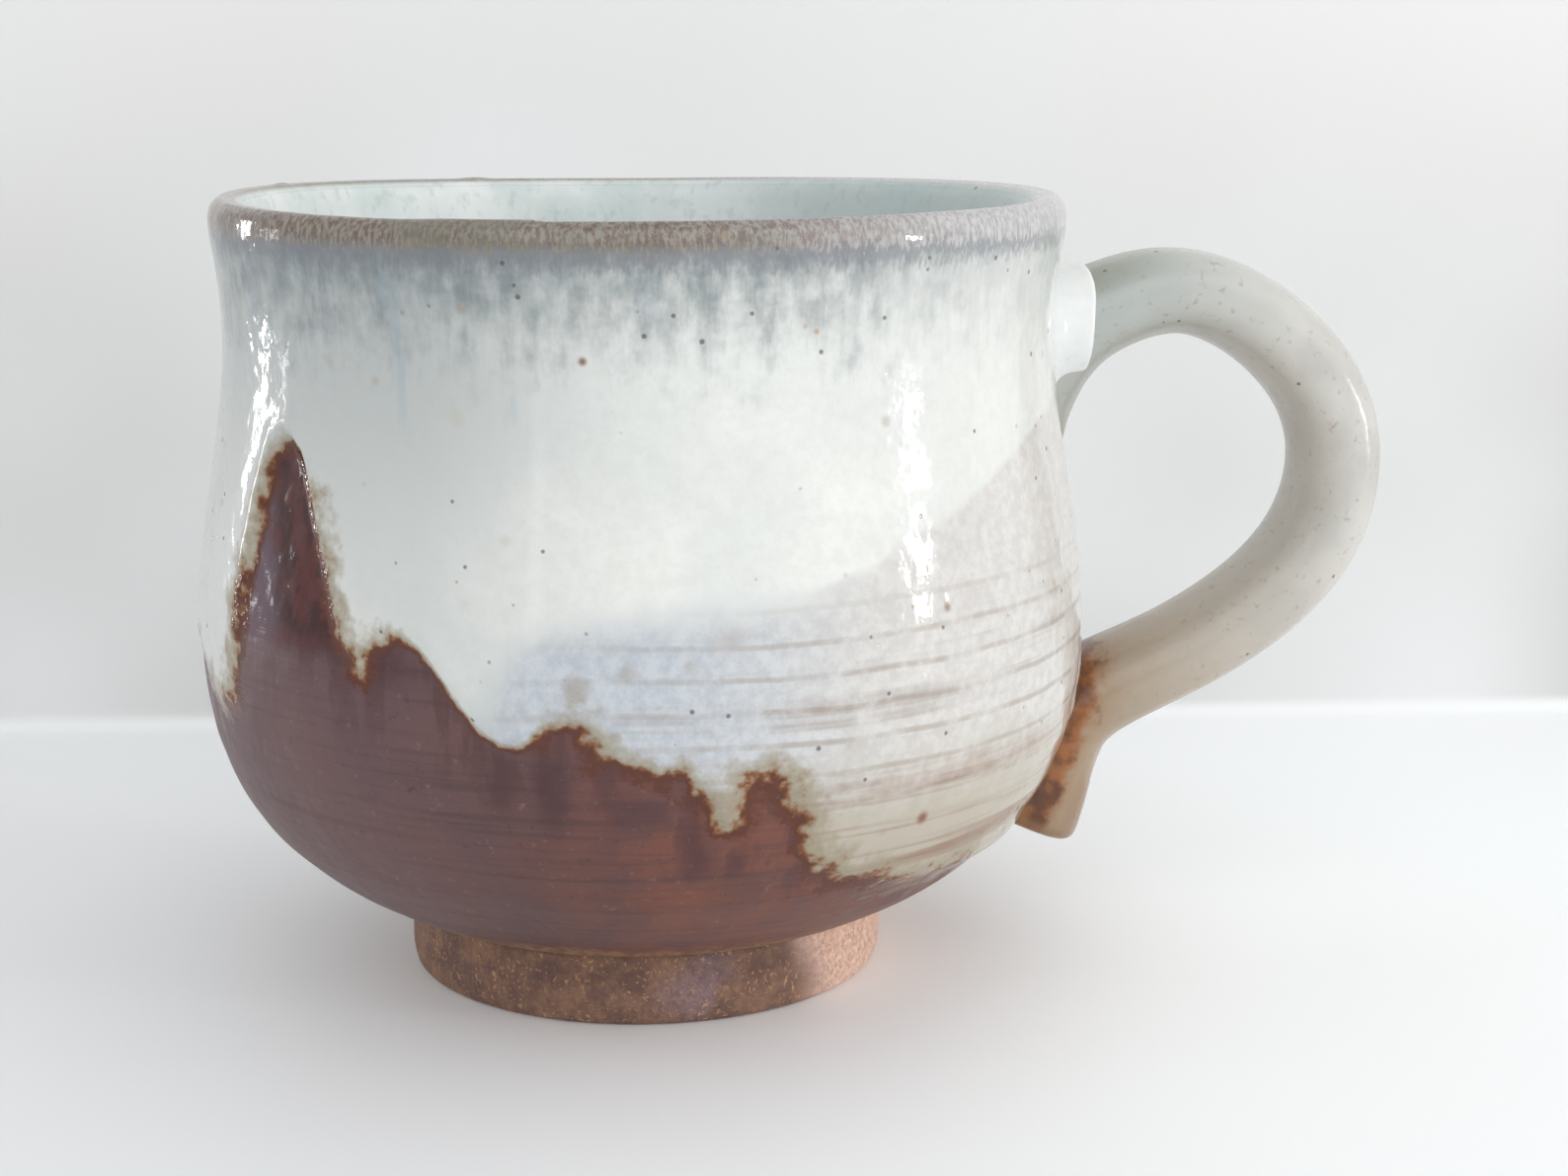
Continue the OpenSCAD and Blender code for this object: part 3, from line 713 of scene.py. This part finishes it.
# ---------------------------------------------------------------- the handle
# A strap pulled from a lump of clay, bent into an ear and pressed on at both ends. Its lower end
# is wiped down the belly as a short tail. A thin pale glaze covers it, rusty where it runs thin.

STRAP_IN = 0.0447
STRAP_OUT = 0.0755
TAIL_Z = 0.0135
STRAP_TALL = 0.0558
STRAP_HALF_THICK = 0.0040
STRAP_HALF_WIDE = 0.0065
STRAP_COAT = 0.0005
ROOT_FLARE = 0.0060                          # how far the upper root spreads down on its inner side
# each key: how far out, how far up, thickness and width as shares
STRAP_KEYS = [(-0.17, 0.92, 1.20, 1.20), (-0.05, 0.945, 1.15, 1.12), (0.10, 0.98, 1.08, 1.04),
              (0.27, 1.015, 1.04, 1.00), (0.455, 1.02, 1.02, 0.98), (0.66, 0.975, 1.02, 0.98),
              (0.85, 0.89, 1.04, 0.98), (0.97, 0.785, 1.04, 0.98), (1.00, 0.665, 1.04, 0.98),
              (0.93, 0.535, 1.06, 0.98), (0.75, 0.42, 1.06, 0.98), (0.48, 0.325, 1.04, 1.00),
              (0.23, 0.265, 1.06, 1.03), (0.065, 0.215, 1.15, 1.08), (-0.025, 0.145, 1.30, 1.14),
              (-0.08, 0.075, 1.48, 1.20), (-0.125, 0.02, 1.60, 1.20)]
STRAP_SIDES = 24


def strap_place(at):
    """The strap's middle, half thickness and half width at a place counted in keys."""
    last = len(STRAP_KEYS) - 1
    k = min(int(at), last - 1)
    u = at - k
    a, b, c, d = (np.array(STRAP_KEYS[max(0, min(last, k + j))]) for j in (-1, 0, 1, 2))
    q = 0.5 * (2 * b + (c - a) * u + (2 * a - 5 * b + 4 * c - d) * u * u + (3 * b - a - 3 * c + d) * u ** 3)
    return (np.array((STRAP_IN + (STRAP_OUT - STRAP_IN) * q[0], 0, TAIL_Z + STRAP_TALL * q[1])),
            STRAP_HALF_THICK * q[2] + STRAP_COAT, STRAP_HALF_WIDE * q[3] + STRAP_COAT)


def strap_frame(at):
    """The strap's middle there, and the way square to it towards its outer face."""
    last = len(STRAP_KEYS) - 1
    way = strap_place(min(last, at + 0.05))[0] - strap_place(max(0, at - 0.05))[0]
    way /= np.linalg.norm(way)
    return way, np.array((-way[2], 0, way[0]))


def strap_ring(at, shift=0.0, squeeze=1.0):
    """The strap's rounded outline at a place, moved along the strap or drawn in where asked."""
    middle, half_thick, half_wide = strap_place(at)
    way, outward = strap_frame(at)
    ring = []
    for k in range(STRAP_SIDES):
        a = math.tau * k / STRAP_SIDES
        t = math.copysign(abs(math.cos(a)) ** 0.85, math.cos(a)) * half_thick * squeeze
        if at < 2.1:
            t -= ROOT_FLARE * max(0, 1 - (at - 0.4) / 1.7) ** 2 * max(0, -math.cos(a))
        w = math.copysign(abs(math.sin(a)) ** 0.85, math.sin(a)) * half_wide * squeeze
        ring.append(Vector(middle + way * shift + outward * t + np.array((0, w, 0))))
    return ring


def pulled(name, rings, ends_meet=False):
    """A ring drawn out place by place, the way a strap is pulled; its ends are closed or joined."""
    start_clean()
    bpy.ops.mesh.primitive_circle_add(vertices=len(rings[0]), radius=0.01)
    piece = bpy.context.object
    piece.name = name
    piece.data.vertices.foreach_set("co", [v for place in rings[0] for v in place])
    piece.location = (0, 0, 0)
    bpy.ops.object.mode_set(mode="EDIT")
    bpy.ops.mesh.select_all(action="SELECT")
    shape = bmesh.from_edit_mesh(piece.data)
    row = list(shape.verts)
    if not ends_meet:
        bpy.ops.mesh.edge_face_add()
        bpy.ops.mesh.select_all(action="SELECT")
    for ring in rings[1:]:
        bpy.ops.mesh.select_all(action="DESELECT")
        shape = bmesh.from_edit_mesh(piece.data)
        shape.verts.ensure_lookup_table()
        for v in row:
            v.select = True
        for e in shape.edges:
            e.select = e.verts[0] in row and e.verts[1] in row
        bmesh.update_edit_mesh(piece.data)
        bpy.ops.mesh.select_mode(type="EDGE")
        bpy.ops.mesh.extrude_edges_move(TRANSFORM_OT_translate={"value": (0, 0, 0)})
        shape = bmesh.from_edit_mesh(piece.data)
        fresh = {v for v in shape.verts if v.select}
        row = [next(e.other_vert(v) for e in v.link_edges if e.other_vert(v) in fresh) for v in row]
        for v, place in zip(row, ring):
            v.co = place
        bmesh.update_edit_mesh(piece.data)
    if ends_meet:
        bpy.ops.mesh.select_all(action="DESELECT")
        bpy.ops.mesh.select_non_manifold()
        bpy.ops.mesh.bridge_edge_loops()
    else:
        bpy.ops.mesh.edge_face_add()
    bpy.ops.mesh.select_all(action="SELECT")
    bpy.ops.mesh.normals_make_consistent(inside=False)
    bpy.ops.object.mode_set(mode="OBJECT")
    return piece


def finish_smooth(piece):
    start_clean()
    bpy.context.view_layer.objects.active = piece
    piece.select_set(True)
    bpy.ops.object.modifier_add(type="SUBSURF")
    piece.modifiers[-1].levels = 2
    piece.modifiers[-1].render_levels = 2
    bpy.ops.object.modifier_apply(modifier=piece.modifiers[-1].name)
    bpy.ops.object.shade_smooth()


last = len(STRAP_KEYS) - 1
stops = list(np.arange(0, last + 0.01, 0.5))
strap_rings = [strap_ring(at) for at in stops]
strap_rings += [strap_ring(last, shift=0.0008, squeeze=0.97), strap_ring(last, shift=0.0013, squeeze=0.88),
                strap_ring(last, shift=0.0015, squeeze=0.6)]
strap = pulled("strap", strap_rings)
along, face = [], []
for k, ring in enumerate(strap_rings):
    for j in range(STRAP_SIDES):
        along.append(min(k / (len(stops) - 1), 1.04))
        face.append(math.cos(math.tau * j / STRAP_SIDES))
nearest = kdtree.KDTree(len(along))
flat_rings = [p for ring in strap_rings for p in ring]
for k, p in enumerate(flat_rings):
    nearest.insert(p, k)
nearest.balance()
found = [nearest.find(v.co)[1] for v in strap.data.vertices]
keep(strap, "along", np.array([along[k] for k in found]))
keep(strap, "face", np.array([face[k] for k in found]))
finish_smooth(strap)

strap_glaze, recipe, shader, where = material("thin pale glaze on the strap", 0.22)
side, depth, height = recipe.parts(where)
along = recipe.node("Attribute", attribute_name="along").outputs["Fac"]
face = recipe.node("Attribute", attribute_name="face").outputs["Fac"]
broad = recipe.noise(where, 110.0, 3.0)
fine = recipe.noise(where, 1000.0, 3.0, 0.6)
middling = recipe.noise(where, 320.0, 3.0, 0.6)
skin = recipe.blend(recipe.rise(broad, 0.38, 0.62), shade(194, 191, 184), shade(208, 205, 198))
green = recipe.rise(along, 0.10, 0.42, 1.0, 0.0)
skin = recipe.blend(green, skin, shade(176, 182, 178))
# the strap's inner face, turned to the mug, is painted darker and browner: painted shade between the strap
# and the wall
inner = recipe.rise(face, -0.9, 0.1, 0.45, 0.0)
skin = recipe.blend(inner, skin, shade(162, 152, 138))
olive = recipe.times(recipe.rise(along, 0.10, 0.26, 1.0, 0.0), recipe.rise(face, 0.2, 0.9))
olive = recipe.times(olive, recipe.rise(broad, 0.3, 0.6, 0.5, 1.0))
skin = recipe.blend(olive, skin, shade(146, 148, 132))
# the strap is browner and darker along its lower part
browner_lower_strap = recipe.rise(recipe.plus(along, recipe.times(broad, 0.12)), 0.60, 0.88)
skin = recipe.blend(browner_lower_strap, skin, shade(168, 150, 128))
skin = recipe.blend(recipe.rise(fine, 0.58, 0.75, 0.0, 0.5), skin, shade(150, 132, 116))
# rust where the tail lies against the belly
drop = recipe.less(0.038, height)
belly = recipe.less(0.0456, recipe.times(recipe.times(drop, drop), 12.5))
off_belly = recipe.less(side, belly)
off_belly = recipe.plus(off_belly, recipe.times(recipe.less(middling, 0.5), 0.0050))
rusty = recipe.times(recipe.rise(off_belly, 0.0026, 0.0046, 1.0, 0.0),
                     recipe.rise(height, 0.0345, 0.0375, 1.0, 0.0))
rust = recipe.blend(recipe.rise(middling, 0.38, 0.60), shade(98, 54, 28), shade(158, 98, 50))
rust = recipe.blend(recipe.rise(off_belly, -0.0005, 0.0012, 0.8, 0.0), rust, shade(74, 52, 34))
tanned = recipe.times(recipe.rise(off_belly, 0.0028, 0.0070, 0.5, 0.0),
                      recipe.rise(height, 0.034, 0.038, 1.0, 0.0))
skin = recipe.blend(tanned, skin, shade(160, 120, 80))
skin = recipe.blend(recipe.times(rusty, 0.95), skin, rust)
outer_edge = recipe.times(recipe.rise(face, 0.15, 0.75), recipe.rise(along, 0.84, 0.93))
skin = recipe.blend(recipe.times(outer_edge, 0.7), skin, shade(138, 100, 66))
tip = recipe.rise(along, 0.985, 1.02)
skin = recipe.blend(recipe.times(tip, 0.6), skin, shade(146, 112, 80))
marks = placed(recipe, pinholes, where)
skin = recipe.blend(recipe.times(marks["Holes"], 0.8), skin, shade(96, 78, 64))
recipe.feed(shader.inputs["Base Color"], skin)
peel = recipe.plus(recipe.times(recipe.noise(where, 700.0, 2.0), 0.2), recipe.noise(where, 150.0, 2.0))
recipe.bump(shader, 0.5, 0.0005, peel)
strap.data.materials.append(strap_glaze)
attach(strap, "root")
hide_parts("handle", "handle_glaze", "lower_lute")

# ---------------------------------------------------------------- the slip roll at the upper root
# The strap's upper root is pressed into a roll of slip and wiped smooth. It is flooded with ash
# glaze, so it stands out white with a crisp edge where the strap leaves it.


def wall_radius(height):
    line = WALL_LINE[4:24]
    return np.interp(height * 1000, [z for r, z in line], [r for r, z in line]) / 1000


def slip_roll(name, out_to, lip, middle_z, half_wide, up, down, swell):
    """A collar from the strap, at a distance from the mug's middle, out to a soft outline on the wall."""
    rings = [[] for _ in range(11)]
    sides = 40
    for k in range(sides):
        a = math.tau * k / sides
        c, s = math.cos(a), math.sin(a)
        soft_c, soft_s = math.copysign(abs(c) ** 0.85, c), math.copysign(abs(s) ** 0.85, s)
        for at in np.arange(0.2, 3.5, 0.02):
            centre, thick, wide = strap_place(at)
            way, outward = strap_frame(at)
            skin = centre + outward * soft_c * thick + np.array((0, soft_s * wide, 0))
            if skin[0] > out_to + 0.0006 * c:
                break
        into = -way
        out = outward * c + np.array((0, s, 0))
        up_sign = outward[2] * c
        reach = up if up_sign > 0 else down
        y = half_wide * s * (1.0 if up_sign > 0 else 1.0 - 0.35 * abs(c) ** 1.5)
        z = middle_z + reach * c * (1 if outward[2] > 0 else -1)
        r = wall_radius(z)
        foot_at = np.array((math.sqrt(max(r * r - y * y, 1e-6)) - 0.0002, y, z))
        normal = np.array((foot_at[0], y, 0)) / r
        rise = skin + out * lip
        pull_a = rise + into * swell + out * lip * 0.5
        along_wall = rise - foot_at - normal * np.dot(rise - foot_at, normal)
        pull_b = foot_at + along_wall * 0.55 + normal * 0.0005
        rings[0].append(Vector(skin - out * 0.001))
        rings[1].append(Vector(skin + out * lip * 0.5 - into * 0.0002))
        for j in range(8):
            u = j / 7
            p = (1 - u) ** 3 * rise + 3 * (1 - u) ** 2 * u * pull_a
            p = p + 3 * (1 - u) * u * u * pull_b + u ** 3 * foot_at
            rings[2 + j].append(Vector(p))
        rings[10].append(Vector(foot_at - normal * 0.002 - (foot_at - skin) * 0.2))
    made = pulled(name, rings, ends_meet=True)
    finish_smooth(made)
    return made


upper_roll = slip_roll("upper_roll", out_to=0.0463, lip=0.0007, middle_z=0.0668, half_wide=0.0112,
                       up=0.0066, down=0.0105, swell=0.0020)
flooded, recipe, shader, where = material("flooded ash glaze", 0.1)
cloud = recipe.noise(where, 160.0, 3.0)
fine = recipe.noise(where, 1000.0, 3.0, 0.6)
white = recipe.blend(recipe.rise(cloud, 0.35, 0.65), shade(240, 241, 238), shade(228, 231, 230))
white = recipe.blend(recipe.rise(fine, 0.60, 0.78, 0.0, 0.3), white, shade(190, 190, 186))
recipe.feed(shader.inputs["Base Color"], white)
peel = recipe.noise(where, 260.0, 2.0)
recipe.bump(shader, 0.4, 0.0004, peel)
upper_roll.data.materials.append(flooded)
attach(upper_roll, "root")
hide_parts("upper_lute")

start_clean()
